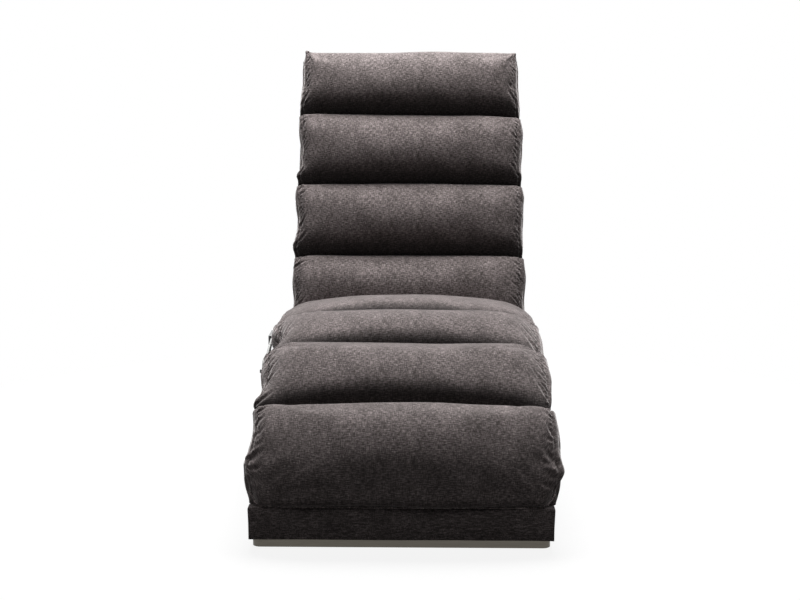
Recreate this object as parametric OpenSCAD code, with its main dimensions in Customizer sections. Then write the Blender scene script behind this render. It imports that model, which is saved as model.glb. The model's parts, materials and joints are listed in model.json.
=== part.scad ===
// Long reclining chair for foot treatments: a low upholstered base on a steel-edged plinth,
// nine soft rolls that follow an S-shaped deck, and a backrest that tips on a tube at the seat.
// The side outlines are drawn as [depth, height] and then extruded across the chair.

/* [Base] */
// Width of the base over its fabric
base_w = 700; // [620:5:760]
// How far the base reaches behind the hinge axis
base_behind = 125; // [115:1:180]
// Height of the front panel's top edge above the floor
front_h = 88; // [80:1:100]
// Height of the glides under the plinth
glide_h = 4; // [2:0.5:8]
// Diameter of a glide
glide_d = 40; // [30:1:50]
// Height of the plinth and of the steel strip around it
plinth_h = 16; // [14:0.5:20]
// How far the strip's face lies inside the fabric's face
plinth_inset = 10; // [6:0.5:20]
// Thickness of the steel strip
strip_t = 1.5; // [1:0.1:3]
// Radius of the strip's corners
strip_corner_r = 18; // [10:1:30]
// Thickness of the plywood boards
board_t = 18; // [15:0.5:20]
// Thickness of the covers: fabric over thin foam
cover_t = 6; // [4:0.5:8]

/* [Rolls] */
// How far a seat roll hangs over the base at each end
seat_over = 3; // [1:0.5:6]
// How much further the foot roll reaches at each end
foot_extra = 9; // [0:1:12]
// How much narrower than the base the backrest is at each side
back_inset = 2; // [0:0.5:10]
// Height of a roll where it meets the next one, over the deck
roll_edge = 60; // [52:1:66]
// How far a roll's crown rises over its seams
roll_crown = 40; // [25:1:50]
// The same for the foot roll's rounded nose
foot_crown = 76; // [60:1:85]
// Length of the chair's line taken by one seat roll
seat_pitch = 245; // [235:1:250]
// Length of the chair's line taken by one back roll
back_pitch = 232; // [215:1:245]
// Free space between two neighbouring rolls
roll_gap = 0.6; // [0.4:0.1:1.5]
// How far from a roll's end its shape starts to round off
end_round = 84; // [50:1:110]

/* [Line of the chair] */
// Thickness of the foot roll where it starts behind the front panel
foot_edge = 31.5; // [25:0.5:40]
// Length of the deck under the foot roll
foot_deck_l = 239; // [225:1:250]
// Slope of the deck under the foot roll, in degrees
foot_slope = 38; // [36:1:40]
// Slope under the calf roll, in degrees
calf_slope = 21; // [19:1:23]
// Slope under the knee roll, in degrees
knee_slope = 9; // [7:1:11]
// Slope under the thigh roll, in degrees
thigh_slope = -3; // [-5:1:-1]
// Slope under the seat roll, in degrees
seat_slope = -24; // [-26:1:-22]
// Slope of the lumbar roll, in degrees
lumbar_slope = 57.5; // [56:0.5:59]
// Slope of the two rolls above it, in degrees
back_slope = 62; // [61:0.5:64]
// Slope of the head roll, in degrees
head_slope = 61; // [60:0.5:63]

/* [Frame] */
// Width of a slat
slat_w = 50; // [40:1:55]
// Thickness of a slat
slat_t = 12; // [8:0.5:14]
// Depth of the backrest's side rails
rail_depth = 45; // [40:1:50]
// Thickness of the backrest's rear panel
panel_t = 5; // [3:0.5:8]
// Width of the hollow that the ribs leave for the spring
rib_hollow_w = 150; // [120:5:160]
// Height of that hollow
rib_hollow_h = 110; // [100:1:120]
// Length of the wooden rail at each side of the hinge
end_rail_l = 34; // [25:1:36]

/* [Hinge] */
// Distance of the hinge axis below the corner of seat and back
hinge_drop = 80; // [76:1:84]
// Outer radius of the hinge drum and of the ears beside it
drum_r = 47; // [44:0.5:48]
// Thickness of the drum's wall
drum_t = 2; // [1.5:0.1:3]
// Free space between the drum and the pieces around it
drum_gap = 2; // [1.5:0.1:2.5]
// Free space between the seat frame and the back frame
hinge_gap = 1; // [0.6:0.1:2]
// Diameter of the pivot tube
tube_d = 30; // [25:0.5:32]
// Wall of the pivot tube
tube_wall = 2.5; // [2:0.1:4]
// Wall of the plastic bush
bush_wall = 3; // [2:0.1:4]
// Thickness of the bush's flange
flange_t = 2; // [1:0.1:3]
// Thickness of the pivot plates and of the back brackets
plate_t = 6; // [4:0.5:8]
// Running clearance of a shaft, on its radius
running_fit = 0.05; // [0.02:0.01:0.09]
// Diameter of the frame bolts
bolt_d = 8; // [6:0.5:10]

/* [Gas spring] */
// Length of the crank on the pivot tube
arm_l = 95; // [90:1:98]
// Angle of the crank behind straight down at rest, in degrees
arm_rest = 45; // [42:1:48]
// Spring's fixed end, in front of the rear rib
spring_front = 31; // [28:1:60]
// Spring's fixed end, above the floor
spring_z = 80; // [76:1:86]
// Diameter of the pressure tube
cylinder_d = 28; // [22:0.5:32]
// Diameter of the piston rod
rod_d = 10; // [8:0.5:12]
// Diameter of the spring's pins
pin_d = 10; // [8:0.5:12]
// Travel that the rod keeps
spring_travel = 60; // [58:1:64]

/* [Lever] */
// Lever's pivot, as a share of the deck under the knee roll
lever_share = 0.4; // [0.3:0.01:0.5]
// Lever's pivot, below the deck
lever_drop = 34; // [30:1:60]
// Diameter of the lever's round boss
boss_d = 70; // [50:1:76]
// Thickness of the lever's plate
lever_t = 5; // [4:0.5:6]
// Free space between the ends of the seat rolls and the plate
lever_stand = 8; // [7:0.5:12]
// Length of the grip
grip_l = 84; // [70:1:100]
// Height of the grip
grip_h = 25; // [20:1:30]
// Width of the grip
grip_w = 14; // [12:0.5:15]
// Diameter of the lever's shaft
shaft_d = 12; // [10:0.5:14]

/* [Hidden] */

// Colours
fabric_c = [0.24, 0.22, 0.215];
steel_c = [0.72, 0.71, 0.69];
dark_steel_c = [0.36, 0.37, 0.39];
wood_c = [0.76, 0.62, 0.42];
black_c = [0.05, 0.05, 0.055];
nylon_c = [0.85, 0.85, 0.8];

// Smoothness of round pieces
round_fn = 64;
// One overrun serves all cuts
over = 1;
// What lies flat on something soft or hard keeps this much air
rest_gap = 0.3;

// Slope of each roll's stretch of deck, from foot to head
seat_slopes = [foot_slope, calf_slope, knee_slope, thigh_slope, seat_slope];
slopes = concat(seat_slopes, [lumbar_slope, back_slope, back_slope, head_slope]);
rolls = len(slopes);
// The seam between the seat roll and the lumbar roll, where the chair bends
hinge_seam = len(seat_slopes);

function along(a) = [cos(a), sin(a)];
function up(a) = [-sin(a), cos(a)];
function lerp(a, b, u) = (1 - u) * a + u * b;

// Place of seam i between two rolls, at the height of their edges, measured from the front panel
function line(i) = i == 0 ? [0, front_h]
    : i == 1 ? [foot_edge, front_h] + foot_deck_l * along(foot_slope) + roll_edge * wall_dir(1)
    : line(i - 1) + (i <= hinge_seam ? seat_pitch : back_pitch) * along(slopes[i - 1]);

// Place of a point that lies below seam i by the depth given, square to the deck
function under(i, depth) = line(i) - depth * wall_dir(i);

// Direction in which the wall between two rolls stands, long enough to reach a unit of height
function wall_dir(i) = i == 0 ? [-1, 0]
    : i == rolls ? up(head_slope)
    : up((slopes[i - 1] + slopes[i]) / 2) / cos((slopes[i] - slopes[i - 1]) / 2);

// The hinge axis lies below the corner of seat and back; the base's ends follow from it
hinge_depth = roll_edge + hinge_drop / norm(wall_dir(hinge_seam));
base_l = under(hinge_seam, hinge_depth)[0] + base_behind;
front_y = -base_l / 2;
rear_y = base_l / 2;
hinge = under(hinge_seam, hinge_depth) + [front_y, 0];
plinth_z = glide_h + plinth_h;

// Corner i of a line that runs below the rolls' underside by the depth given
function deck(i, below = 0) = i == 0
    ? [deck(1, below)[0] - (deck(1, below)[1] - front_h) / tan(foot_slope), front_h]
    : under(i, roll_edge + below) + [front_y, 0];

// Height of a roll's edge over the deck; the foot roll's front edge lies along the front panel
function edge_at(i, u) = i > 0 ? roll_edge : lerp(deck(0)[0] - front_y, roll_edge, u);

// A point of roll i: u runs from its lower to its upper seam, rise is measured from the deck
function roll_point(i, u, rise) = lerp(deck(i), deck(i + 1), u)
    + rise * lerp(wall_dir(i), wall_dir(i + 1), u);

// The open end of the crank and the spring's fixed end
arm_end = hinge + arm_l * [sin(arm_rest), -cos(arm_rest)];
spring_end = [deck(hinge_seam - 1)[0] - spring_front, spring_z];
spring_len = norm(arm_end - spring_end);
spring_tilt = atan2(arm_end[1] - spring_end[1], arm_end[0] - spring_end[0]);
// Top of the fixed deck behind the hinge
rear_z = hinge[1] - cover_t;

// Widths of the rolls, and faces across the chair measured from the middle
roll_w = base_w + 2 * seat_over;
back_roll_w = base_w - 2 * back_inset;
board_out = base_w / 2 - cover_t;
board_in = board_out - board_t;
plate_in = board_in - plate_t;
side_play = 1;
bracket_out = plate_in - flange_t - side_play;
bracket_in = bracket_out - plate_t;
back_out = back_roll_w / 2;
rail_out = back_out - cover_t;

// Extrudes a side outline to the width w, centred on x
module across(w, x = 0)
    translate([x - w / 2, 0, 0])
        rotate([90, 0, 90])
            linear_extrude(w) children();

// A round bar across the chair from x1 to x2 at a place of the side view
module bar(place, d, x1, x2)
    translate([x1, place[0], place[1]])
        rotate([0, 90, 0])
            cylinder(h = x2 - x1, d = d, $fn = round_fn);

// A slab of width w, depth d and height h whose top middle lies at a place of the side view
module slab(w, d, h, place, slope)
    translate([0, place[0], place[1]])
        rotate([slope, 0, 0])
            translate([-w / 2, -d / 2, -h])
                cube([w, d, h]);

// The base, in order from the floor up

glide_inset = 60;
module floor_glides()
    color(black_c)
        for (p = concat([[0, 0]], [for (x = [-1, 1], y = [-1, 0, 1])
                [x * (base_w / 2 - glide_inset), y * (base_l / 2 - glide_inset)]]))
            translate([p[0], p[1], 0])
                cylinder(h = glide_h, d = glide_d, $fn = round_fn);

// A plate with round corners that leaves this much free all round
module plinth_outline(inset, corner_r) {
    w = base_w - 2 * inset;
    l = base_l - 2 * inset;
    square([w - 2 * corner_r, l], center = true);
    square([w, l - 2 * corner_r], center = true);
    for (x = [-1, 1], y = [-1, 1])
        translate([x * (w / 2 - corner_r), y * (l / 2 - corner_r)])
            circle(r = corner_r, $fn = round_fn);
}

bracket_half_l = 40;
bracket_half_w = 26;
bracket_plate_t = 4;
screw_d = 6;
screw_clear = 0.2;
function spring_screws() = [for (x = [-1, 1], y = [-1, 1])
    [x * (bracket_half_w - screw_d), spring_end[0] + y * (bracket_half_l - 2 * screw_d)]];

module plinth_board()
    color(wood_c)
        difference() {
            translate([0, 0, glide_h])
                linear_extrude(plinth_h)
                    plinth_outline(plinth_inset + strip_t, strip_corner_r - strip_t);
            for (p = spring_screws())
                translate([p[0], p[1], glide_h + plinth_h - spring_screw_l])
                    cylinder(h = spring_screw_l + over, d = screw_d + 2 * screw_clear, $fn = round_fn);
        }

module plinth_strip()
    color(steel_c)
        translate([0, 0, glide_h])
            linear_extrude(plinth_h)
                difference() {
                    plinth_outline(plinth_inset, strip_corner_r);
                    plinth_outline(plinth_inset + strip_t, strip_corner_r - strip_t);
                }

// A side of the base, w wide and centred on x: its top follows the deck line at some depth,
// an ear goes round the hinge, and the part behind it is level
module base_side(w, x, below, rear_top)
    union() {
        front = front_y + cover_t;
        across(w, x)
            polygon(concat(
                [[hinge[0], plinth_z], [front, plinth_z], [front, front_h]],
                [for (i = [0 : hinge_seam - 1]) deck(i, below)],
                [deck(hinge_seam, below) - hinge_gap / 2 * along(seat_slope),
                    hinge - hinge_gap / 2 * along(seat_slope)]));
        bar(hinge, 2 * drum_r, x - w / 2, x + w / 2);
        across(w, x)
            translate([hinge[0] - drum_r / 2, plinth_z])
                square([rear_y - cover_t - hinge[0] + drum_r / 2, rear_top - plinth_z]);
    }

module front_board()
    color(wood_c)
        translate([-board_in, front_y + cover_t, plinth_z])
            cube([2 * board_in, board_t, front_h - plinth_z]);

module rear_board()
    color(wood_c)
        translate([-board_in, rear_y - cover_t - board_t, plinth_z])
            cube([2 * board_in, board_t, rear_z - slat_t - plinth_z]);

// Bolts that hold a pivot plate: places in the side view, measured from the hinge axis
plate_lift = 17;
plate_drop = hinge[1] - plinth_z - plate_lift;
plate_front = 96;
plate_bolt_in = 16;
function plate_bolts() = [for (y = [0, 1], z = [0, 1])
    hinge + [-plate_front + plate_bolt_in + y * (plate_front - plate_bolt_in),
        -plate_drop + plate_bolt_in + z * (plate_drop / 2 - plate_bolt_in)]];

lever_place = lerp(deck(2), deck(3), lever_share) - [0, lever_drop];
lever_bush_d = shaft_d + 2 * bush_wall;

module side_board(side)
    color(wood_c)
        difference() {
            base_side(board_t, side * (board_in + board_out) / 2, slat_t, rear_z - slat_t);
            bar(hinge, tube_d + 2 * bush_wall + 2 * drum_gap, side * board_in - over, side * board_in + over);
            for (p = plate_bolts())
                bar(p, bolt_d + 2 * screw_clear, side * (board_in + board_out) / 2 - board_t, 
                    side * (board_in + board_out) / 2 + board_t);
            if (side < 0)
                bar(lever_place, lever_bush_d + 2 * running_fit, -board_out - over, -board_in + over);
        }
module side_board_left() side_board(-1);
module side_board_right() side_board(1);

// The ribs stand under the seams at the calf, the knee and the seat; the cable passes between
module cross_ribs()
    color(wood_c)
        for (i = [1, 2, hinge_seam - 1])
            difference() {
                intersection() {
                    base_side(2 * board_in, 0, slat_t, rear_z - slat_t);
                    translate([-board_in, deck(i)[0] - board_t / 2, plinth_z])
                        cube([2 * board_in, board_t, deck(i)[1]]);
                }
                translate([-rib_hollow_w / 2, deck(i)[0] - board_t, plinth_z])
                    cube([rib_hollow_w, 2 * board_t, rib_hollow_h]);
            }

// Places of a roll's slats along its stretch of deck
slat_shares = [0.22, 0.5, 0.78];
module slats(first, last, w)
    for (i = [first : last], u = slat_shares)
        slab(w, slat_w, slat_t, lerp(deck(i), deck(i + 1), u),
            atan2(deck(i + 1)[1] - deck(i)[1], deck(i + 1)[0] - deck(i)[0]));

module seat_slats()
    color(wood_c)
        slats(0, hinge_seam - 1, 2 * board_out);

module seat_end_rail()
    color(wood_c)
        across(2 * board_in - hinge_gap)
            difference() {
                corner = deck(hinge_seam) - hinge_gap / 2 * along(seat_slope);
                polygon([corner, corner - end_rail_l * along(seat_slope),
                    corner - end_rail_l * along(seat_slope) - 2 * slat_t * up(seat_slope),
                    corner - 2 * slat_t * wall_dir(hinge_seam)]);
                translate(hinge)
                    circle(r = drum_r + drum_gap, $fn = round_fn * 2);
            }

rear_deck_start = hinge[0] + drum_r + drum_gap;
module rear_deck_board()
    color(wood_c)
        translate([-board_out, rear_deck_start, rear_z - slat_t])
            cube([2 * board_out, rear_y - cover_t - rear_deck_start, slat_t]);

module front_cover()
    color(fabric_c)
        translate([-base_w / 2, front_y, plinth_z])
            cube([base_w, cover_t, front_h - plinth_z]);

module rear_cover()
    color(fabric_c)
        across(base_w)
            union() {
                translate([rear_y - cover_t, plinth_z])
                    square([cover_t, rear_z - plinth_z]);
                translate([rear_deck_start, rear_z])
                    square([rear_y - rear_deck_start, cover_t]);
            }

module side_cover(side)
    color(fabric_c)
        difference() {
            base_side(cover_t, side * (base_w - cover_t) / 2, rest_gap, rear_z);
            if (side < 0)
                bar(lever_place, lever_bush_d + 2 * drum_gap, -base_w / 2 - over, -board_out + over);
        }
module side_cover_left() side_cover(-1);
module side_cover_right() side_cover(1);

// Soft rolls: rings of points across the chair, joined by triangles

crown_steps = 12;
end_steps = 5;
mid_steps = 4;
// Roundness of a crown's outline, from seam to seam
crown_power = 2.6;
crown_root = 0.62;
// At its very end a roll keeps these shares of its crown, edge and length of deck
end_crown_share = 0.2;
seat_end_edge_share = 0.6;
back_end_edge_share = 0.78;
end_deck_share = 0.93;
// How far the crown sinks towards the ends, as a share
seat_arch_share = 0.75;
back_arch_share = 0.25;
end_power = 2.3;

function bulge(u) = pow(1 - pow(abs(2 * u - 1), crown_power), crown_root);
// How full a roll is at a distance from its end: 0 at the end face, 1 past the rounding
function fullness(d) = pow(1 - pow(1 - min(1, d / end_round), end_power), 1 / end_power);

function roll_ring(i, x, w, crown) = let (
        full = fullness(w / 2 - abs(x)),
        free = roll_gap / 2 / norm(deck(i + 1) - deck(i)),
        on_seat = i > 0 && i < hinge_seam,
        deck_part = lerp(end_deck_share, 1, full) * (1 - 2 * free),
        edge_part = lerp(on_seat ? seat_end_edge_share : back_end_edge_share, 1, full),
        arch = (on_seat ? seat_arch_share : back_arch_share) * pow(2 * x / w, 2),
        crown_part = lerp(end_crown_share, 1, full) * (1 - arch),
        start = (1 - deck_part) / 2)
    concat(
        [concat([x], roll_point(i, start, rest_gap))],
        [for (k = [0 : crown_steps]) let (v = (1 - cos(180 * k / crown_steps)) / 2, u = start + v * deck_part)
            concat([x], roll_point(i, u, edge_at(i, u) * edge_part + crown * crown_part * bulge(v)))],
        [concat([x], roll_point(i, start + deck_part, rest_gap))]);

function ring_places(w) = concat(
    [for (k = [0 : end_steps - 1]) -w / 2 + end_round * (1 - cos(90 * k / end_steps))],
    [for (k = [0 : mid_steps]) lerp(-1, 1, k / mid_steps) * (w / 2 - end_round)],
    [for (k = [end_steps - 1 : -1 : 0]) w / 2 - end_round * (1 - cos(90 * k / end_steps))]);

// Joins rings of equal length into one closed solid of triangles
module loft(rings) {
    n = len(rings[0]);
    m = len(rings);
    walls = [for (r = [0 : m - 2], k = [0 : n - 1]) let (
            a = r * n + k, b = r * n + (k + 1) % n, c = a + n, d = b + n)
        each [[a, b, c], [b, d, c]]];
    first_cap = [for (k = [1 : n - 2]) [0, k + 1, k]];
    last_cap = [for (k = [1 : n - 2]) let (o = (m - 1) * n) [o, o + k, o + k + 1]];
    polyhedron(points = [for (ring = rings) each ring], faces = concat(walls, first_cap, last_cap));
}

module roll(i, w, crown)
    color(fabric_c)
        loft([for (x = ring_places(w)) roll_ring(i, x, w, crown)]);

module foot_roll() roll(0, roll_w + 2 * foot_extra, foot_crown);
module calf_roll() roll(1, roll_w, roll_crown);
module knee_roll() roll(2, roll_w, roll_crown);
module thigh_roll() roll(3, roll_w, roll_crown);
module seat_roll() roll(4, roll_w, roll_crown);
module lumbar_roll() roll(5, back_roll_w, roll_crown);
module midback_roll() roll(6, back_roll_w, roll_crown);
module shoulder_roll() roll(7, back_roll_w, roll_crown);
module head_roll() roll(8, back_roll_w, roll_crown);

// Hinge: plates on the side boards, bushes, tube and brackets

module pivot_plates()
    color(dark_steel_c)
        for (side = [-1, 1])
            difference() {
                across(plate_t, side * (board_in + plate_in) / 2)
                    union() {
                        translate(hinge)
                            circle(r = drum_r, $fn = round_fn * 2);
                        translate(hinge + [-plate_front, -plate_drop])
                            square([plate_front + plate_bolt_in, plate_drop - drum_r / 2]);
                    }
                bar(hinge, tube_d + 2 * bush_wall + 2 * running_fit,
                    side * (board_in + plate_in) / 2 - plate_t, side * (board_in + plate_in) / 2 + plate_t);
                for (p = plate_bolts())
                    bar(p, bolt_d + 2 * screw_clear,
                        side * (board_in + plate_in) / 2 - plate_t, side * (board_in + plate_in) / 2 + plate_t);
            }

module pivot_bushes()
    color(nylon_c)
        for (side = [-1, 1])
            mirror([side < 0 ? 1 : 0, 0, 0])
                difference() {
                    union() {
                        bar(hinge, tube_d + 2 * bush_wall, plate_in, board_in);
                        bar(hinge, tube_d + 4 * bush_wall, plate_in - flange_t, plate_in);
                    }
                    bar(hinge, tube_d + 2 * running_fit, plate_in - flange_t - over, board_in + over);
                }

bolt_head_d = 2 * bolt_d - screw_clear;
bolt_head_h = bolt_d / 2;
module pivot_bolts()
    color(steel_c)
        for (side = [-1, 1], p = plate_bolts())
            mirror([side < 0 ? 1 : 0, 0, 0]) {
                bar(p, bolt_d, plate_in, board_out - rest_gap);
                bar(p, bolt_head_d, plate_in - bolt_head_h, plate_in);
            }

module pivot_tube()
    color(dark_steel_c)
        difference() {
            bar(hinge, tube_d, -board_in + rest_gap, board_in - rest_gap);
            bar(hinge, tube_d - 2 * tube_wall, -board_in, board_in);
        }

// Corner i of a line behind the backrest's deck by the depth given
function back_line(i, below) = deck(i, below)
    + (i == hinge_seam ? hinge_gap / 2 * along(lumbar_slope) : [0, 0]);

// Side view of the backrest's frame between two depths behind its deck, cut short at the top
module back_side_view(near, far, short = 0) {
    top_cut = short * along(head_slope);
    difference() {
        polygon(concat(
            [for (i = [hinge_seam : rolls - 1]) back_line(i, near)],
            [back_line(rolls, near) - top_cut, back_line(rolls, far) - top_cut],
            [for (i = [rolls - 1 : -1 : hinge_seam]) back_line(i, far)]));
        translate(hinge)
            circle(r = drum_r + drum_gap, $fn = round_fn * 2);
    }
}

frame_back = slat_t + rail_depth;
bolt_shares = [0.3, 0.62];
bracket_reach_share = 0.8;
function bracket_bolts_at() = [for (u = bolt_shares)
    lerp(deck(hinge_seam, slat_t + rail_depth / 2), deck(hinge_seam + 1, slat_t + rail_depth / 2), u)];

module back_rail(side)
    color(wood_c)
        difference() {
            across(rail_out - bracket_out, side * (rail_out + bracket_out) / 2)
                back_side_view(slat_t, frame_back - rest_gap, cover_t + rest_gap);
            for (p = bracket_bolts_at())
                bar(p, bolt_d + 2 * screw_clear, side * (rail_out + bracket_out) / 2 - board_t,
                    side * (rail_out + bracket_out) / 2 + board_t);
        }
module back_rail_left() back_rail(-1);
module back_rail_right() back_rail(1);

// Angles round the hinge in degrees, counted from straight back, between which the drum is closed
drum_from_angle = -15;
drum_to_angle = 155;
module drum_sector()
    intersection() {
        circle(r = drum_r, $fn = round_fn * 2);
        polygon(concat([[0, 0]], [for (u = [0 : 1 / 3 : 1])
            2 * drum_r * along(lerp(drum_from_angle, drum_to_angle, u))]));
    }

module back_brackets()
    color(dark_steel_c)
        for (side = [-1, 1])
            difference() {
                across(plate_t, side * (bracket_out + bracket_in) / 2)
                    union() {
                        translate(hinge)
                            drum_sector();
                        translate(hinge)
                            circle(d = tube_d + 4 * bush_wall, $fn = round_fn);
                        intersection() {
                            polygon([back_line(hinge_seam, slat_t + drum_gap) + plate_t * along(lumbar_slope),
                                lerp(deck(hinge_seam, slat_t + drum_gap), deck(hinge_seam + 1, slat_t + drum_gap),
                                    bracket_reach_share),
                                lerp(deck(hinge_seam, frame_back), deck(hinge_seam + 1, frame_back),
                                    bracket_reach_share) + rest_gap * up(lumbar_slope),
                                back_line(hinge_seam, frame_back - rest_gap)]);
                            back_bracket_zone();
                        }
                    }
                bar(hinge, tube_d, side * (bracket_out + bracket_in) / 2 - plate_t,
                    side * (bracket_out + bracket_in) / 2 + plate_t);
                for (p = bracket_bolts_at())
                    bar(p, bolt_d + 2 * screw_clear, side * (bracket_out + bracket_in) / 2 - plate_t,
                        side * (bracket_out + bracket_in) / 2 + plate_t);
            }

// The backrest's own side of the hinge plane
module back_bracket_zone()
    polygon([hinge, deck(hinge_seam) + hinge_gap / 2 * along(lumbar_slope), deck(hinge_seam + 1),
        deck(hinge_seam + 1, frame_back)]);

module bracket_bolts()
    color(steel_c)
        for (side = [-1, 1], p = bracket_bolts_at())
            mirror([side < 0 ? 1 : 0, 0, 0]) {
                bar(p, bolt_d, bracket_in, rail_out - rest_gap);
                bar(p, bolt_head_d, bracket_in - bolt_head_h, bracket_in);
            }

module hinge_drum()
    color(fabric_c)
        across(2 * (bracket_in - rest_gap))
            translate(hinge)
                difference() {
                    drum_sector();
                    circle(r = drum_r - drum_t, $fn = round_fn * 2);
                }

module back_bottom_rail()
    color(wood_c)
        across(2 * (bracket_in - rest_gap - bolt_head_h))
            difference() {
                corner = back_line(hinge_seam, 0);
                polygon([corner, corner + end_rail_l * along(lumbar_slope),
                    corner + end_rail_l * along(lumbar_slope) - rail_depth * up(lumbar_slope),
                    back_line(hinge_seam, rail_depth)]);
                translate(hinge)
                    circle(r = drum_r + rest_gap, $fn = round_fn * 2);
            }

module back_top_rail()
    color(wood_c)
        across(2 * bracket_out) {
            from = cover_t + rest_gap;
            polygon([for (p = [[slat_t + rest_gap, from], [frame_back - rest_gap, from],
                    [frame_back - rest_gap, from + end_rail_l], [slat_t + rest_gap, from + end_rail_l]])
                deck(rolls, p[0]) - p[1] * along(head_slope)]);
        }

module back_slats()
    color(wood_c)
        slats(hinge_seam, rolls - 1, 2 * rail_out);

module back_panel()
    color(wood_c)
        across(2 * (rail_out - rest_gap))
            back_side_view(frame_back, frame_back + panel_t, cover_t + rest_gap);

// Fabric shell round the backrest's sides, rear and top
module back_cover() {
    rear = frame_back + panel_t + rest_gap;
    color(fabric_c)
        union() {
            for (side = [-1, 1])
                across(cover_t, side * (back_out - cover_t / 2))
                    back_side_view(rest_gap, rear + cover_t);
            across(2 * back_out - cover_t)
                back_side_view(rear, rear + cover_t);
            across(2 * back_out - cover_t)
                polygon([for (p = [[rest_gap, 0], [rear + cover_t / 2, 0],
                        [rear + cover_t / 2, cover_t], [rest_gap, cover_t]])
                    deck(rolls, p[0]) - p[1] * along(head_slope)]);
        }
}

// Gas spring under the seat, drawn along its own axis from the fixed end

module spring_axis()
    translate([0, spring_end[0], spring_end[1]])
        rotate([spring_tilt, 0, 0])
            children();

// A round bar along the spring, between two distances from the fixed end
module spring_bar(d, from, to)
    spring_axis()
        translate([0, from, 0])
            rotate([-90, 0, 0])
                cylinder(h = to - from, d = d, $fn = round_fn);

head_w = 20;
head_l = 34;
head_r = 13;
eye_w = 16;
eye_r = 17;
eye_neck = 16;
open_eye_clear = 4.8;
ear_gap = 1;
ear_t = 4;
rod_bare = spring_travel + head_l + 2 * rest_gap;

spring_screw_l = plinth_h - over;
module spring_bracket()
    color(dark_steel_c)
        difference() {
            union() {
                translate([-bracket_half_w, spring_end[0] - bracket_half_l, plinth_z])
                    cube([2 * bracket_half_w, 2 * bracket_half_l, bracket_plate_t]);
                for (side = [-1, 1])
                    across(ear_t, side * (head_w / 2 + ear_gap + ear_t / 2))
                        union() {
                            translate(spring_end)
                                circle(r = head_r, $fn = round_fn);
                            translate([spring_end[0] - head_r, plinth_z])
                                square([2 * head_r, spring_end[1] - plinth_z]);
                        }
            }
            bar(spring_end, pin_d + 2 * running_fit, -head_w, head_w);
            for (p = spring_screws())
                translate([p[0], p[1], plinth_z - over])
                    cylinder(h = bracket_plate_t + 2 * over, d = screw_d + 2 * screw_clear, $fn = round_fn);
        }

pin_head_t = 3;
module headed_pin(place, d, half_l)
    for (part = [[d, -half_l, half_l], [1.6 * d, half_l, half_l + pin_head_t], [1.6 * d, -half_l - pin_head_t, -half_l]])
        bar(place, part[0], part[1], part[2]);

module spring_base_pin()
    color(steel_c)
        headed_pin(spring_end, pin_d, head_w / 2 + ear_gap + ear_t + rest_gap);

module spring_bracket_bolts()
    color(steel_c)
        for (p = spring_screws())
            translate([p[0], p[1], 0]) {
                translate([0, 0, plinth_z - spring_screw_l + rest_gap])
                    cylinder(h = spring_screw_l + bracket_plate_t - rest_gap, d = screw_d, $fn = round_fn);
                translate([0, 0, plinth_z + bracket_plate_t])
                    cylinder(h = screw_d / 2, d = 2 * screw_d - screw_clear, $fn = round_fn);
            }

tab_t = 4;
module release_head()
    color(dark_steel_c)
        difference() {
            spring_axis()
                union() {
                    rotate([0, 90, 0])
                        translate([0, 0, -head_w / 2])
                            cylinder(h = head_w, r = head_r, $fn = round_fn);
                    translate([-head_w / 2, 0, -head_r])
                        cube([head_w, head_l, 2 * head_r]);
                }
            bar(spring_end, pin_d + 2 * running_fit, -head_w, head_w);
        }

module spring_rod()
    color(steel_c)
        spring_bar(rod_d, head_l, rod_bare + spring_travel + rod_guide_l);

rod_guide_l = 18;
wall_of_cylinder = 2;
cylinder_end = spring_len - eye_r - eye_neck;
module spring_cylinder()
    color(black_c)
        difference() {
            spring_bar(cylinder_d, rod_bare, cylinder_end);
            spring_bar(cylinder_d - 2 * wall_of_cylinder, rod_bare - over, cylinder_end - 2 * wall_of_cylinder);
        }

module rod_guide()
    color(nylon_c)
        difference() {
            spring_bar(cylinder_d - 2 * wall_of_cylinder - 2 * running_fit, rod_bare, rod_bare + rod_guide_l);
            spring_bar(rod_d + 2 * running_fit, rod_bare - over, rod_bare + rod_guide_l + over);
        }

module cylinder_eye()
    color(dark_steel_c)
        difference() {
            spring_axis()
                union() {
                    translate([-eye_w / 2, spring_len, 0])
                        rotate([0, 90, 0])
                            cylinder(h = eye_w, r = eye_r, $fn = round_fn);
                    translate([0, spring_len - eye_r - eye_neck, 0])
                        rotate([-90, 0, 0])
                            cylinder(h = eye_neck + eye_r / 2, d = rod_d + ear_t, $fn = round_fn);
                }
            bar(arm_end, pin_d + 2 * open_eye_clear, -head_w, head_w);
        }

module recline_arm()
    color(dark_steel_c)
        for (side = [-1, 1])
            difference() {
                across(plate_t, side * (eye_w / 2 + ear_gap + plate_t / 2))
                    union() {
                        translate(hinge)
                            circle(d = tube_d + 4 * bush_wall, $fn = round_fn);
                        translate(arm_end)
                            circle(r = head_r, $fn = round_fn);
                        polygon([for (p = [[0, -1], [0, 1], [1, 1], [1, -1]])
                            lerp(hinge, arm_end, p[0]) + p[1] * head_r * [cos(arm_rest), sin(arm_rest)]]);
                    }
                bar(hinge, tube_d, -3 * head_w, 3 * head_w);
                bar(arm_end, pin_d + 2 * running_fit, -3 * head_w, 3 * head_w);
            }

module arm_pin()
    color(steel_c)
        headed_pin(arm_end, pin_d, eye_w / 2 + ear_gap + plate_t + rest_gap);

// The tab on the release head, and the cable that pulls it

tab_l = 30;
tab_place = spring_end + (head_r + rest_gap) * up(spring_tilt);
tab_pivot = tab_place + tab_t / 2 * up(spring_tilt);
module release_tab()
    color(steel_c)
        union() {
            bar(tab_pivot, tab_t, ear_gap - head_w / 2, head_w / 2 - ear_gap);
            across(head_w - 2 * ear_gap)
                translate(tab_pivot)
                    rotate(spring_tilt)
                        translate([0, -tab_t / 4])
                            square([tab_l, tab_t / 2]);
        }

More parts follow.
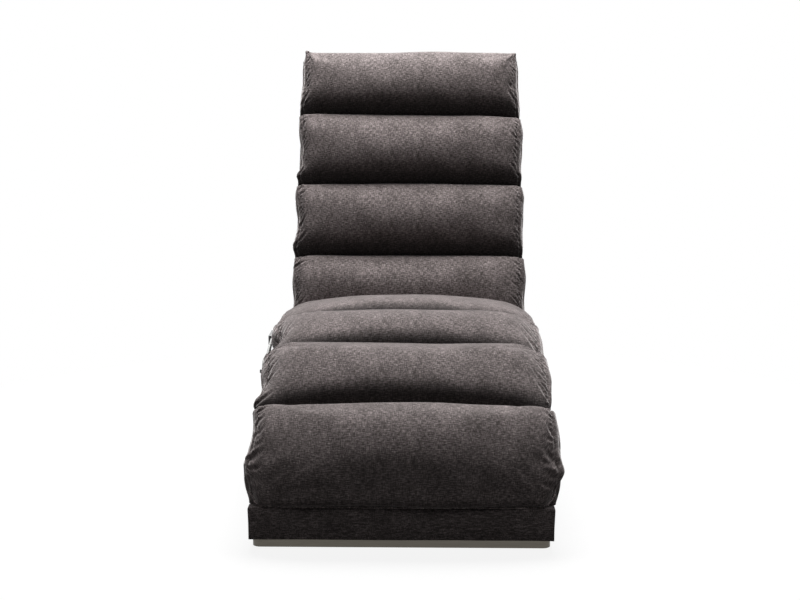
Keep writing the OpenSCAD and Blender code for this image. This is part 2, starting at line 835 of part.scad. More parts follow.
lever_x = roll_w / 2 + lever_stand;
crank_l = 36;
module lever_bush()
    color(nylon_c)
        difference() {
            bar(lever_place, lever_bush_d, -board_out, -board_in);
            bar(lever_place, shaft_d + 2 * running_fit, -board_out - over, -board_in + over);
        }

spring_sleeve_l = 14;
module return_spring()
    color(steel_c)
        difference() {
            bar(lever_place, lever_bush_d, -board_in + rest_gap, -board_in + spring_sleeve_l);
            bar(lever_place, shaft_d + 2 * ear_gap, -board_in, -board_in + 2 * spring_sleeve_l);
        }

crank_from = -board_in + spring_sleeve_l + ear_gap;
module lever_shaft()
    color(steel_c)
        bar(lever_place, shaft_d, -lever_x - lever_t, crank_from + 2 * ear_t);

module release_crank()
    color(dark_steel_c)
        difference() {
            across(ear_t, crank_from + ear_t / 2)
                union() {
                    translate(lever_place)
                        circle(d = lever_bush_d, $fn = round_fn);
                    translate(lever_place - [0, shaft_d / 2])
                        square([crank_l, shaft_d]);
                }
            bar(lever_place, shaft_d, crank_from - over, crank_from + ear_t + over);
        }

// The lever's plate: a round boss, a bar that climbs backwards, and a level tongue in the grip
climb = 43;
reach = 200;
tongue_h = 14;
bar_h = 26;
module lever_bar_view() {
    grip_start = lever_place + [reach, climb];
    polygon([lever_place + [-bar_h / 2, bar_h / 2], lever_place + [reach - bar_h, climb + tongue_h / 2],
        grip_start + [grip_l - tongue_h, tongue_h / 2], grip_start + [grip_l - tongue_h, -tongue_h / 2],
        lever_place + [reach - bar_h / 2, climb - tongue_h / 2], lever_place + [-bar_h / 2, -bar_h / 2]]);
}

module lever_arm()
    color(steel_c)
        difference() {
            union() {
                bar(lever_place, boss_d, -lever_x - lever_t, -lever_x);
                across(lever_t, -lever_x - lever_t / 2)
                    lever_bar_view();
            }
            bar(lever_place, shaft_d, -lever_x - lever_t - over, -lever_x + over);
        }

cap_d = 10.5;
cap_h = 9;
module lever_cap()
    color(black_c)
        bar(lever_place, cap_d, -lever_x - lever_t - cap_h, -lever_x - lever_t);

grip_clear = 0.2;
module lever_grip()
    color(black_c)
        difference() {
            translate([-lever_x - lever_t / 2 - grip_w / 2, lever_place[0] + reach, lever_place[1] + climb - grip_h / 2])
                cube([grip_w, grip_l, grip_h]);
            translate([-lever_x - lever_t - grip_clear, lever_place[0] + reach - over,
                    lever_place[1] + climb - tongue_h / 2 - grip_clear])
                cube([lever_t + 2 * grip_clear, grip_l - tongue_h + over + grip_clear, tongue_h + 2 * grip_clear]);
        }

// The cable runs as one smooth curve from the bracket below the crank to the release tab
cable_d = 6;
cable_side_steps = 8;
cable_steps = 28;
cable_lead = 160;
cable_end_gap = 8;
clip_l = 24;
clip_down = 60;
cable_start = [crank_from + ear_t / 2, lever_place[0] + crank_l - shaft_d / 2,
    lever_place[1] - clip_down - bracket_plate_t];
cable_stop = [0, tab_place[0] + tab_l / 2, tab_place[1] + tab_t + cable_end_gap];

function bezier(a, b, c, d, t) = pow(1 - t, 3) * a + 3 * pow(1 - t, 2) * t * b
    + 3 * (1 - t) * t * t * c + pow(t, 3) * d;
function cable_at(t) = bezier(cable_start, cable_start - [0, 0, cable_lead],
    cable_stop + [0, 0, cable_lead], cable_stop, t);
function unit(v) = v / norm(v);
function cable_ring(k) = let (
        t = k / cable_steps,
        step = 1 / cable_steps / 10,
        dir = k == 0 || k == cable_steps ? [0, 0, -1] : unit(cable_at(t + step) - cable_at(t - step)),
        side = unit(cross(dir, [1, 0, 0])),
        rise = cross(dir, side))
    [for (j = [0 : cable_side_steps - 1]) let (a = 360 * j / cable_side_steps)
        cable_at(t) + cable_d / 2 * (cos(a) * side + sin(a) * rise)];

module release_cable()
    color(black_c)
        loft([for (k = [0 : cable_steps]) cable_ring(k)]);

module cable_bracket()
    color(dark_steel_c)
        translate([-board_in, cable_start[1] - clip_l / 2, cable_start[2]])
            union() {
                cube([board_in + cable_start[0] + cable_d, clip_l, bracket_plate_t]);
                translate([0, 0, -clip_l])
                    cube([bracket_plate_t, clip_l, clip_l]);
            }

floor_glides();
plinth_board();
plinth_strip();
front_board();
rear_board();
side_board_left();
side_board_right();
cross_ribs();
seat_slats();
seat_end_rail();
rear_deck_board();
front_cover();
rear_cover();
side_cover_left();
side_cover_right();
foot_roll();
calf_roll();
knee_roll();
thigh_roll();
seat_roll();
pivot_plates();
pivot_bushes();
pivot_bolts();
spring_bracket();
spring_base_pin();
spring_bracket_bolts();
lever_bush();
return_spring();
cable_bracket();
release_cable();
pivot_tube();
back_brackets();
bracket_bolts();
hinge_drum();
back_rail_left();
back_rail_right();
back_bottom_rail();
back_top_rail();
back_slats();
back_panel();
back_cover();
lumbar_roll();
midback_roll();
shoulder_roll();
head_roll();
recline_arm();
arm_pin();
spring_rod();
release_head();
spring_cylinder();
rod_guide();
cylinder_eye();
release_tab();
lever_shaft();
lever_arm();
lever_grip();
lever_cap();
release_crank();
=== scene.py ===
"""A long reclining chair for foot treatments: nine soft rolls over an upholstered base."""
import json
import math
import random

import bpy
import numpy as np
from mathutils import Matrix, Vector, noise as soft_noise


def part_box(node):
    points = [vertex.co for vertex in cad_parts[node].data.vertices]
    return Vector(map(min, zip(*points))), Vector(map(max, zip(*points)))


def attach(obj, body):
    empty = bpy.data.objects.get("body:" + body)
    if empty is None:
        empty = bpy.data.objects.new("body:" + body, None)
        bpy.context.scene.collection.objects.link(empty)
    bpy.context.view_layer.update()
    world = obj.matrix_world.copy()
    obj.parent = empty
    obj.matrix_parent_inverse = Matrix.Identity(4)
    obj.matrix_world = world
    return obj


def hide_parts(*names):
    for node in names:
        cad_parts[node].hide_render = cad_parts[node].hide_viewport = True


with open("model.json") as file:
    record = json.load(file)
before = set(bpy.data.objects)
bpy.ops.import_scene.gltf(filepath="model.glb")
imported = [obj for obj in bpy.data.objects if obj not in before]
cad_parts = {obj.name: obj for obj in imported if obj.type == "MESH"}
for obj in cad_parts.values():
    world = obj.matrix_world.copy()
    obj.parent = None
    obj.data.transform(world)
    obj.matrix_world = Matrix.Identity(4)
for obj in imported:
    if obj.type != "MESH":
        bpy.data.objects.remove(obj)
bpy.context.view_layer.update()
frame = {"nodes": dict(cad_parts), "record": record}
NODES = frame["nodes"]

# The side view of the chair in metres, as the frame has it: slopes in degrees from foot to head
SEAT_SLOPES = (38.0, 21.0, 9.0, -3.0, -24.0)
SLOPES = SEAT_SLOPES + (57.5, 62.0, 62.0, 61.0)
HINGE_SEAM = len(SEAT_SLOPES)
ROLL_NODES = ("foot_roll", "calf_roll", "knee_roll", "thigh_roll", "seat_roll",
              "lumbar_roll", "midback_roll", "shoulder_roll", "head_roll")
FRONT_HEIGHT = 0.088
FOOT_EDGE = 0.0315
FOOT_DECK = 0.239
SEAT_PITCH = 0.245
BACK_PITCH = 0.232
ROLL_EDGE = 0.060
ROLL_DIP = 0.045
ROLL_CROWN = 0.043
FOOT_CROWN = 0.076
END_ROUND = 0.084
ROLL_GAP = 0.0006
REST_GAP = 0.0003
FRONT_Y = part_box("front_cover")[0][1]


def deselect():
    """Leaves object mode with nothing selected."""
    if bpy.context.object and bpy.context.object.mode != "OBJECT":
        bpy.ops.object.mode_set(mode="OBJECT")
    bpy.ops.object.select_all(action="DESELECT")


def pick(piece):
    """Makes one piece the only one selected."""
    deselect()
    piece.select_set(True)
    bpy.context.view_layer.objects.active = piece


def new_piece(name, points, faces, body, material):
    """A mesh piece from points and faces, riding on a body."""
    mesh = bpy.data.meshes.new(name)
    mesh.from_pydata([tuple(p) for p in points], [], faces)
    mesh.update()
    piece = bpy.data.objects.new(name, mesh)
    bpy.context.scene.collection.objects.link(piece)
    mesh.materials.append(material)
    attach(piece, body)
    return piece


# Line of the chair

def direction(slope):
    return np.array([math.cos(math.radians(slope)), math.sin(math.radians(slope))])


def normal(slope):
    return np.array([-math.sin(math.radians(slope)), math.cos(math.radians(slope))])


def wall(i):
    """Direction in which the wall at seam i stands, long enough to reach a unit of height."""
    if i == 0:
        return np.array([-1.0, 0.0])
    if i == len(SLOPES):
        return normal(SLOPES[-1])
    half_bend = math.radians((SLOPES[i] - SLOPES[i - 1]) / 2)
    return normal((SLOPES[i - 1] + SLOPES[i]) / 2) / math.cos(half_bend)


def seam(i):
    """Place of seam i in the side view, at the height of the rolls' edges."""
    if i == 1:
        foot = np.array([FRONT_Y + FOOT_EDGE, FRONT_HEIGHT])
        return foot + FOOT_DECK * direction(SLOPES[0]) + ROLL_EDGE * wall(1)
    pitch = SEAT_PITCH if i <= HINGE_SEAM else BACK_PITCH
    return seam(i - 1) + pitch * direction(SLOPES[i - 1])


def deck(i):
    """Corner i of the deck that the rolls lie on."""
    if i == 0:
        return np.array([FRONT_Y + FOOT_EDGE, FRONT_HEIGHT])
    return seam(i) - ROLL_EDGE * wall(i)


def mix(a, b, t):
    return a * (1 - t) + b * t


# Rolls: a regular skin of rings across the chair, with the same form as the frame's solids

# Smallest sizes that still count: a length, and a step along the skin's opened coordinates
TINY = 1e-9
SKIN_TOLERANCE = 1e-6

RING_STEP = 0.0095
CROWN_FINENESS = 1.35
WALL_STEPS = 5
UNDER_STEPS = 8
END_RINGS = 14
CAP_RINGS = 6
CAP_BULGE = 0.006
CAP_CLOTH_DEPTH = 0.05

# Two powers each for the crown's sides: how flat it lies on top, and how steep it meets the seam
FOOT_SIDE_CROWN = (2.8, 0.42)
HEAD_SIDE_CROWN = (2.3, 0.60)
FOOT_ROLL_CROWN = (2.3, 0.55)

# How a roll thins out towards its two ends, as powers and shares of its full height
SEAT_END_POWER = 1.7
BACK_END_POWER = 2.3
END_CROWN_SHARE = 0.2
SEAT_END_EDGE_SHARE = 0.5
BACK_END_EDGE_SHARE = 0.78
END_DECK_SHARE = 0.93
SEAT_ARCH_SHARE = 0.58
BACK_ARCH_SHARE = 0.25

# Small slides of the seams along the deck, and their lean to a metre across the chair
SEAM_SLIDES = {2: (0.004, 0.0), 6: (0.006, 0.0), 7: (0.009, -0.003), 8: (0.012, -0.013)}

# How much higher some rolls stand at their head side
HEAD_RISES = {"calf_roll": 0.018, "knee_roll": 0.008, "thigh_roll": 0.004}
RISE_SHARE = 0.6

# The foot roll's lower edge is lifted off the front cover and reaches forward, and at both ends it
# is cut away; the head roll's upper corners stand up as ears
FOOT_LIFT = 0.0138
FOOT_REACH = 0.0115
CUT_CORNERS = (0.034, 0.032)
CUT_REACH = 0.034
EARS = (0.012, 0.005)
EAR_REACH = 0.024

# How a roll's two ends, left and right, stand out or draw in: place around from the foot side to the
# head side, reach, and way outwards in metres. Outward bumps start this high above the deck.
BUMP_START = 0.018
SIDES = {
    "foot_roll": (((0.00, 0.16, -0.013), (0.34, 0.07, 0.003), (0.75, 0.28, -0.0145)),
                  ((0.00, 0.12, -0.009), (0.24, 0.13, 0.011), (0.60, 0.30, 0.003))),
    "calf_roll": (((0.12, 0.15, 0.026), (0.48, 0.20, -0.010)),
                  ((0.15, 0.15, 0.008), (0.45, 0.60, 0.012))),
    "knee_roll": (((0.12, 0.12, 0.020), (0.43, 0.26, -0.031)),
                  ((0.10, 0.08, 0.004), (0.57, 0.25, 0.004))),
    "thigh_roll": (((0.50, 0.40, -0.001),), ((0.50, 0.40, -0.001),)),
    "seat_roll": (((0.50, 0.40, -0.002),), ((0.50, 0.40, -0.002),)),
    "lumbar_roll": (((0.48, 0.14, -0.006),), ((0.45, 0.14, -0.003), (0.85, 0.20, 0.005))),
    "midback_roll": (((0.12, 0.10, 0.008), (0.50, 0.22, -0.010), (0.92, 0.10, 0.003)),
                     ((0.08, 0.08, 0.003), (0.36, 0.15, -0.003), (0.90, 0.12, 0.006))),
    "shoulder_roll": (((0.13, 0.06, 0.008), (0.26, 0.08, -0.005), (0.50, 0.28, -0.013)),
                      ((0.12, 0.08, 0.004), (0.30, 0.15, -0.004), (0.85, 0.15, 0.005))),
    "head_roll": (((1.00, 0.15, -0.012), (0.60, 0.35, -0.009)),
                  ((1.00, 0.15, -0.008), (0.60, 0.35, -0.006))),
}


class Roll:
    """Sizes of one roll and the points of its skin."""

    def __init__(self, index):
        self.index = index
        self.node = ROLL_NODES[index]
        low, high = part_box(self.node)
        self.width = high[0] - low[0]
        self.on_seat = 0 < index < HINGE_SEAM
        self.body = "base" if index < HINGE_SEAM else "backrest"
        self.start, self.end = deck(index), deck(index + 1)
        self.start_wall, self.end_wall = wall(index), wall(index + 1)
        self.length = float(np.linalg.norm(self.end - self.start))
        self.head_rise = HEAD_RISES.get(self.node, 0.0)

    def point(self, u, rise):
        return mix(self.start, self.end, u) + rise * mix(self.start_wall, self.end_wall, u)

    def slide(self, end, x):
        """How far the seam at one end of the roll has slid along the deck."""
        along, lean = SEAM_SLIDES.get(self.index + end, (0.0, 0.0))
        return along + lean * x

    def edge(self, u):
        """Height of the skin at its two seams: it dips under the roll below it at the foot side."""
        foot_side = ROLL_EDGE - ROLL_DIP if self.index else FOOT_EDGE + FOOT_REACH
        return mix(foot_side, ROLL_EDGE + self.head_rise, u)

    def crown_height(self, u):
        if self.index == 0:
            return FOOT_CROWN - FOOT_REACH * (1 - u)
        return ROLL_EDGE + ROLL_CROWN + RISE_SHARE * self.head_rise * u - self.edge(u)

    def trim(self, x):
        """Cut of the lower edge and rise of the upper one near the ends, as shares of the length."""
        gap = max(0.0, self.width / 2 - abs(x))
        side = 0 if x < 0 else 1
        cut = FOOT_LIFT + CUT_CORNERS[side] * max(0.0, 1 - gap / CUT_REACH) if self.index == 0 else 0.0
        ear = EARS[side] * math.exp(-(gap / EAR_REACH) ** 2) if self.index == len(SLOPES) - 1 else 0.0
        return cut / self.length, ear / self.length

    def fullness(self, x):
        inside = min(1.0, max(0.0, (self.width / 2 - abs(x)) / END_ROUND))
        power = SEAT_END_POWER if self.on_seat else BACK_END_POWER
        return (1 - (1 - inside) ** power) ** (1 / power)

    def side_shift(self, x, around, height):
        """How far the points of the skin move sideways; bumps keep to the part well above the deck."""
        near_end = np.clip(1 - (self.width / 2 - np.abs(x)) / END_ROUND, 0, 1) ** 2
        raised = np.clip((height - BUMP_START) / BUMP_START, 0, 1)
        shift = np.zeros_like(x)
        for sign, bumps in zip((-1, 1), SIDES[self.node]):
            for place, reach, far in bumps:
                share = sign * far * np.exp(-((around - place) / reach) ** 2)
                shift += (sign * x > 0) * share * (raised if far > 0 else 1)
        return near_end * shift

    def ring(self, x, counts):
        """Outline at one place across the chair: up the first wall, over the crown, down, and back."""
        full = self.fullness(x)
        deck_part = mix(END_DECK_SHARE, 1, full) * (1 - ROLL_GAP / self.length)
        end_part = mix(SEAT_END_EDGE_SHARE if self.on_seat else BACK_END_EDGE_SHARE, 1, full)
        arch = (SEAT_ARCH_SHARE if self.on_seat else BACK_ARCH_SHARE) * (2 * x / self.width) ** 2
        crown_part = mix(END_CROWN_SHARE, 1, full) * (1 - arch)
        cut, ear = self.trim(x)
        first = (1 - deck_part) / 2 + self.slide(0, x) / self.length
        last = (1 + deck_part) / 2 + self.slide(1, x) / self.length + ear
        crown_first = first + cut
        top_part = 1.0 if self.index == len(SLOPES) - 1 else end_part
        walls, over, under = counts
        points = []
        for k in range(walls):
            up = k / walls
            points.append(self.point(mix(first, crown_first, up), mix(REST_GAP, self.edge(0) * end_part, up)))
        for k in range(over + 1):
            v = (1 - math.cos(math.pi * k / over)) / 2
            power, root = HEAD_SIDE_CROWN if v > 0.5 else FOOT_SIDE_CROWN if self.index else FOOT_ROLL_CROWN
            bulge = (1 - abs(2 * v - 1) ** power) ** root
            seam_height = self.edge(v) * mix(end_part, top_part, v ** 3)
            rise = seam_height + self.crown_height(v) * crown_part * bulge
            points.append(self.point(mix(crown_first, last, v), rise))
        last_edge = self.edge(1) * top_part
        points += [self.point(last, mix(last_edge, REST_GAP, (k + 1) / walls)) for k in range(walls)]
        points += [self.point(mix(last, first, (k + 1) / (under + 1)), REST_GAP) for k in range(under)]
        return np.array(points)

    def counts(self):
        """Steps of a ring: up a wall, over the crown and along the underside."""
        return WALL_STEPS, round(CROWN_FINENESS * self.length / RING_STEP), UNDER_STEPS

    def places(self):
        """Where the rings stand across the chair, closer together towards both ends."""
        half = self.width / 2
        ends = [-half + END_ROUND * (1 - math.cos(math.pi / 2 * k / END_RINGS)) for k in range(END_RINGS)]
        middle = round((self.width - 2 * END_ROUND) / RING_STEP)
        between = [mix(END_ROUND - half, half - END_ROUND, k / middle) for k in range(middle + 1)]
        return ends + between + [-x for x in reversed(ends)]

    def skin(self):
        """Points, faces, cloth coordinates, pinning and places around of the roll's closed skin."""
        counts, places = self.counts(), self.places()
        rings = [self.ring(x, counts) for x in places]
        size = len(rings[0])
        points, cloth, pins, turns = [], [], [], []
        walls, over, under = counts
        around = [0.0] * walls + [(1 - math.cos(math.pi * k / over)) / 2 for k in range(over + 1)]
        around += [1.0] * walls + [1 - (k + 1) / (under + 1) for k in range(under)]
        pinned = [1.0] * 2 + [0.5] * (walls - 2) + [0.0] * (over + 1) + [0.5] * (walls - 1)
        pinned += [1.0] * (size - len(pinned))

        def add_ring(x, ring, depth, hold, share=1.0):
            steps = np.linalg.norm(np.roll(ring, -1, axis=0) - ring, axis=1)
            run = np.concatenate([[0.0], np.cumsum(steps)[:-1]])
            for p, s, pin, turn in zip(ring, run, hold, around):
                points.append((x, p[0], p[1]))
                cloth.append((x, s, depth))
                pins.append(pin)
                turns.append(mix(0.5, turn, share))

        def cap(x, ring, sign):
            centre = ring.mean(axis=0)
            for k in range(CAP_RINGS, 0, -1) if sign < 0 else range(1, CAP_RINGS + 1):
                share = 1 - k / (CAP_RINGS + 1)
                inner = centre + share * (ring - centre)
                place = x + sign * CAP_BULGE * (1 - share ** 2)
                add_ring(place, inner, CAP_CLOTH_DEPTH * (1 - share), [0.0] * size, share)

        cap(places[0], rings[0], -1)
        for x, ring in zip(places, rings):
            add_ring(x, ring, 0.0, pinned)
        cap(places[-1], rings[-1], 1)
        count = len(points) // size
        faces = []
        for low in range(0, (count - 1) * size, size):
            high = low + size
            for k in range(size):
                after = (k + 1) % size
                faces.append((low + k, high + k, high + after, low + after))
        faces.append(tuple(range(size)))
        faces.append(tuple(range(count * size - 1, (count - 1) * size - 1, -1)))
        return points, faces, cloth, pins, turns


# The cloth: it grows where the shrink settings are below nought; then its way is capped, and only a
# share of its sag is kept
CLOTH_FRAMES = 20
CLOTH_SETTINGS = {"quality": 4, "mass": 0.25, "tension_stiffness": 15, "compression_stiffness": 15,
                  "shear_stiffness": 5, "bending_stiffness": 0.4, "use_pressure": True,
                  "uniform_pressure_force": 4.0, "shrink_min": 0.0, "shrink_max": -0.10}
CLOTH_CAP = 0.022
SAG_SHARE = 0.25
LOOSE_POWER = 3

# The rolls on the knee hump are held down by their neighbours
HUMP_ROLLS = ("thigh_roll", "seat_roll")
HUMP_PUFF = 0.55


def read_points(mesh, what="co"):
    """Places or normals of all points of a mesh."""
    values = np.empty(len(mesh.vertices) * 3)
    mesh.vertices.foreach_get(what, values)
    return values.reshape(-1, 3)


def write_points(mesh, points):
    mesh.vertices.foreach_set("co", points.ravel())
    mesh.update()


def puff_up(piece, pins, loose, share):
    """Blows the skin up as cloth, held at its pins and longer where loose, and keeps a share of it."""
    start, outwards = read_points(piece.data), read_points(piece.data, "normal")
    held = piece.vertex_groups.new(name="held")
    slack = piece.vertex_groups.new(name="slack")
    for index, (pin, free) in enumerate(zip(pins, loose)):
        held.add([index], pin, "REPLACE")
        slack.add([index], free, "REPLACE")
    cloth = piece.modifiers.new("Cloth", "CLOTH")
    settings = cloth.settings
    for name, value in CLOTH_SETTINGS.items():
        setattr(settings, name, value)
    settings.vertex_group_mass = held.name
    settings.vertex_group_shrink = slack.name
    settings.effector_weights.gravity = 0
    cloth.collision_settings.use_collision = False
    scene = bpy.context.scene
    for step in range(1, CLOTH_FRAMES + 1):
        scene.frame_set(step)
    pick(piece)
    bpy.ops.object.modifier_apply(modifier=cloth.name)
    scene.frame_set(1)
    shift = read_points(piece.data) - start
    sag = np.minimum(0.0, (shift * outwards).sum(axis=1, keepdims=True))
    shift = share * (shift - (1 - SAG_SHARE) * sag * outwards)
    far = np.linalg.norm(shift, axis=1, keepdims=True)
    write_points(piece.data, start + shift * np.minimum(1.0, CLOTH_CAP / np.maximum(far, TINY)))
    piece.vertex_groups.clear()


def keep_in_place(piece, roll):
    """Presses the skin back to the walls that it shares with its neighbours."""
    points = read_points(piece.data)
    for end, corner, up in ((0, roll.start, roll.start_wall), (1, roll.end, roll.end_wall)):
        if roll.index + end == len(SLOPES):
            continue
        sign = 1 - 2 * end
        up = up / np.linalg.norm(up)
        inward = sign * np.array([up[1], -up[0]])
        depth = (points[:, 1:] - corner) @ inward - sign * roll.slide(end, points[:, 0])
        short = np.maximum(0.0, ROLL_GAP / 2 - depth)
        points[:, 1:] += short[:, None] * inward
    write_points(piece.data, points)


# Sewing and folds, pressed into a finished skin

FINER_LEVELS = 2
SIDE_SEAM_INSET = 0.010
SIDE_SEAM_WIDTH = 0.0026
SIDE_SEAM_DEPTH = 0.0022
STITCH_PITCH = 0.012
STITCH_RISE = 0.0007
UNEVEN_RISE = 0.0045
UNEVEN_SIZE = 0.17
UNEVEN_SPACING = 7.3
CROWN_MARGIN = 0.001

# A fold is a groove between two banks: where the banks lie, in widths, and their shares of its depth
FOLD_BANKS = ((1.5, 0.55), (-1.5, 0.35))
FOLD_TAPER_POWER = 0.7
FOLD_SEED = 41

# Gathers along both side seams: share of the way up, and spans that each is drawn from
GATHERS = 13
GATHER_START = 0.06
GATHER_RUN = 0.84
GATHER_STRAY = 0.3
GATHER_SPANS = {"inset": (0.002, 0.012), "angle": (35, 65), "length": (0.020, 0.050),
                "width": (0.0034, 0.0050), "depth": (0.0008, 0.0024)}

# Puckers along the seam at the foot side: their insets are shares of the roll's width
PUCKERS = 5
PUCKER_PLACE = -0.02
PUCKER_WIDTH = 0.006
PUCKER_SPANS = {"inset": (0.15, 0.85), "angle": (75, 105), "length": (0.02, 0.04),
                "depth": (0.0008, 0.0018)}

# Deep folds, listed one by one: side, inset from the end, share of the way up, angle, length, width, depth
DEEP_FOLDS = {
    "foot_roll": (
        (-1, 0.007, 0.88, 15, 0.040, 0.0045, 0.0036),
        (-1, 0.005, 0.74, 30, 0.045, 0.0045, 0.0024),
        (-1, 0.005, 0.58, 42, 0.050, 0.0045, 0.0024),
        (-1, 0.003, 0.34, 48, 0.060, 0.0053, 0.0030),
        (1, 0.003, 0.30, 62, 0.075, 0.0067, 0.0042),
        (1, 0.007, 0.62, 60, 0.050, 0.0045, 0.0018),
    ),
    "calf_roll": (
        (-1, 0.005, 0.10, 40, 0.055, 0.0060, 0.0036),
        (-1, 0.005, 0.40, 42, 0.055, 0.0045, 0.0024),
        (-1, 0.007, 0.58, 40, 0.050, 0.0045, 0.0024),
        (1, 0.009, 0.20, 66, 0.090, 0.0060, 0.0024),
        (1, 0.019, 0.40, 62, 0.070, 0.0045, 0.0018),
    ),
    "knee_roll": (
        (-1, 0.007, 0.16, 58, 0.100, 0.0060, 0.0030),
        (-1, 0.015, 0.36, 56, 0.080, 0.0045, 0.0024),
        (1, 0.009, 0.14, 60, 0.080, 0.0060, 0.0030),
        (1, 0.021, 0.40, 58, 0.070, 0.0045, 0.0018),
    ),
    "thigh_roll": (
        (-1, 0.011, 0.20, 55, 0.070, 0.0053, 0.0018),
        (1, 0.011, 0.18, 55, 0.070, 0.0053, 0.0018),
    ),
    "lumbar_roll": (
        (-1, 0.003, 0.84, 30, 0.040, 0.0060, 0.0042),
        (-1, 0.005, 0.18, 52, 0.065, 0.0045, 0.0024),
        (1, 0.005, 0.22, 60, 0.050, 0.0045, 0.0018),
    ),
    "midback_roll": (
        (-1, 0.003, 0.12, 50, 0.060, 0.0053, 0.0036),
        (-1, 0.003, 0.36, 55, 0.055, 0.0045, 0.0030),
        (-1, 0.005, 0.92, 25, 0.030, 0.0045, 0.0024),
        (1, 0.005, 0.16, 58, 0.050, 0.0045, 0.0018),
    ),
    "shoulder_roll": (
        (-1, 0.003, 0.12, 55, 0.050, 0.0045, 0.0024),
        (-1, 0.007, 0.90, 30, 0.030, 0.0045, 0.0024),
        (1, 0.005, 0.10, 58, 0.050, 0.0045, 0.0024),
    ),
    "head_roll": (
        (-1, 0.003, 0.12, 62, 0.055, 0.0045, 0.0030),
        (1, 0.003, 0.14, 58, 0.060, 0.0053, 0.0036),
        (-1, 0.005, 0.93, 40, 0.040, 0.0053, 0.0030),
    ),
}


def folds_of(roll):
    """All folds of a roll as start, direction, length, width and depth on the opened skin."""
    draw = random.Random(FOLD_SEED + roll.index)

    def drawn(spans):
        return [draw.uniform(*span) for span in spans.values()]

    plans = list(DEEP_FOLDS.get(roll.node, ()))
    for side in (-1, 1):
        for k in range(GATHERS):
            stray = draw.uniform(-GATHER_STRAY, GATHER_STRAY)
            share = GATHER_START + GATHER_RUN * (k + stray) / (GATHERS - 1)
            inset, angle, length, width, depth = drawn(GATHER_SPANS)
            plans.append((side, inset, share, angle, length, width, depth))
    for _ in range(PUCKERS):
        inset, angle, length, depth = drawn(PUCKER_SPANS)
        plans.append((-1, inset * roll.width, PUCKER_PLACE, angle, length, PUCKER_WIDTH, depth))
    for side, inset, share, angle, length, width, depth in plans:
        turn = math.radians(angle)
        yield (np.array([side * (roll.width / 2 - inset), share * roll.length]),
               np.array([-side * math.cos(turn), math.sin(turn)]), length, width, depth)


def press_folds(piece, roll):
    """Moves the skin along its normals: uneven filling, the side seam with its stitches, and folds."""
    mesh = piece.data
    points, normals = read_points(mesh), read_points(mesh, "normal")
    weave = np.empty((len(points), 3))
    mesh.attributes["weave"].data.foreach_get("vector", weave.ravel())
    around = np.empty(len(points))
    mesh.attributes["around"].data.foreach_get("value", around)
    flat = np.stack([weave[:, 0], around * roll.length], axis=1)
    gap = roll.width / 2 - np.abs(flat[:, 0])
    crown = (weave[:, 2] < SKIN_TOLERANCE) & (around > CROWN_MARGIN) & (around < 1 - CROWN_MARGIN)
    layer = UNEVEN_SPACING * roll.index
    rise = np.array([soft_noise.noise(Vector((x / UNEVEN_SIZE, y / UNEVEN_SIZE, layer)))
                     for x, y in flat]) * UNEVEN_RISE
    groove = np.exp(-((gap - SIDE_SEAM_INSET) / SIDE_SEAM_WIDTH) ** 2)
    beside = np.exp(-((gap - SIDE_SEAM_INSET - 2 * SIDE_SEAM_WIDTH) / (2 * SIDE_SEAM_WIDTH)) ** 2)
    rise += STITCH_RISE * np.sin(2 * math.pi * flat[:, 1] / STITCH_PITCH) * beside - SIDE_SEAM_DEPTH * groove
    for start, way, length, width, depth in folds_of(roll):
        offset = flat - start
        along = np.clip(offset @ way / length, 0, 1)
        across = offset @ np.array([-way[1], way[0]]) / width
        taper = np.sin(math.pi * along ** FOLD_TAPER_POWER)
        profile = sum(share * np.exp(-(across - place) ** 2) for place, share in FOLD_BANKS)
        rise += depth * taper * (profile - np.exp(-across ** 2))
    height = (points[:, 1:] - roll.start) @ normal(SLOPES[roll.index])
    points += normals * (rise * crown)[:, None]
    points[:, 0] += roll.side_shift(flat[:, 0], around, height)
    write_points(mesh, points)


# Painted shade: the fabric's colour is darkened near the seam at a roll's foot side, where the crease between
# rolls falls in shade, but not on the foot roll
SEAM_SHADE_START = 0.10
SEAM_SHADE_REACH = 0.16
SEAM_SHADE_LOW = 0.25


def add_painted_seam_shade(piece, roll):
    """Stores a painted shade at each point of the skin: the share of its colour that is kept, low near the
    seam at the foot side.
    """
    around = np.empty(len(piece.data.vertices))
    piece.data.attributes["around"].data.foreach_get("value", around)
    kept_brightness = mix(SEAM_SHADE_LOW, 1.0, np.clip((around - SEAM_SHADE_START) / SEAM_SHADE_REACH, 0, 1))
    if roll.index == 0:
        kept_brightness[:] = 1.0
    nap = piece.data.attributes.new("nap", "FLOAT", "POINT")
    nap.data.foreach_set("value", kept_brightness)


def make_roll(index, material):
    """One padded roll in place of its plain solid."""
    roll = Roll(index)
    points, faces, cloth, pins, turns = roll.skin()
    piece = new_piece("soft_" + roll.node, points, faces, roll.body, material)
    weave = piece.data.attributes.new("weave", "FLOAT_VECTOR", "POINT")
    weave.data.foreach_set("vector", np.array(cloth).ravel())
    around = piece.data.attributes.new("around", "FLOAT", "POINT")
    around.data.foreach_set("value", np.array(turns))
    loose = [max(0.0, 1 - roll.fullness(p[0]) ** LOOSE_POWER) for p in points]
    puff_up(piece, pins, loose, HUMP_PUFF if roll.node in HUMP_ROLLS else 1.0)
    pick(piece)
    finer = piece.modifiers.new("Finer", "SUBSURF")
    finer.levels = finer.render_levels = FINER_LEVELS
    bpy.ops.object.modifier_apply(modifier=finer.name)
    press_folds(piece, roll)
    keep_in_place(piece, roll)
    add_painted_seam_shade(piece, roll)
    bpy.ops.object.shade_smooth()
    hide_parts(roll.node)
    return piece


# Materials

def new_material(name):
    material = bpy.data.materials.new(name)
    material.use_nodes = True
    tree = material.node_tree
    return material, tree, tree.nodes["Principled BSDF"]


def add_node(tree, kind, **values):
    """A shader node whose inputs and properties are given by name."""
    node = tree.nodes.new(kind)
    for key, value in values.items():
        if key in node.inputs:
            node.inputs[key].default_value = value
        else:
            setattr(node, key, value)
    return node


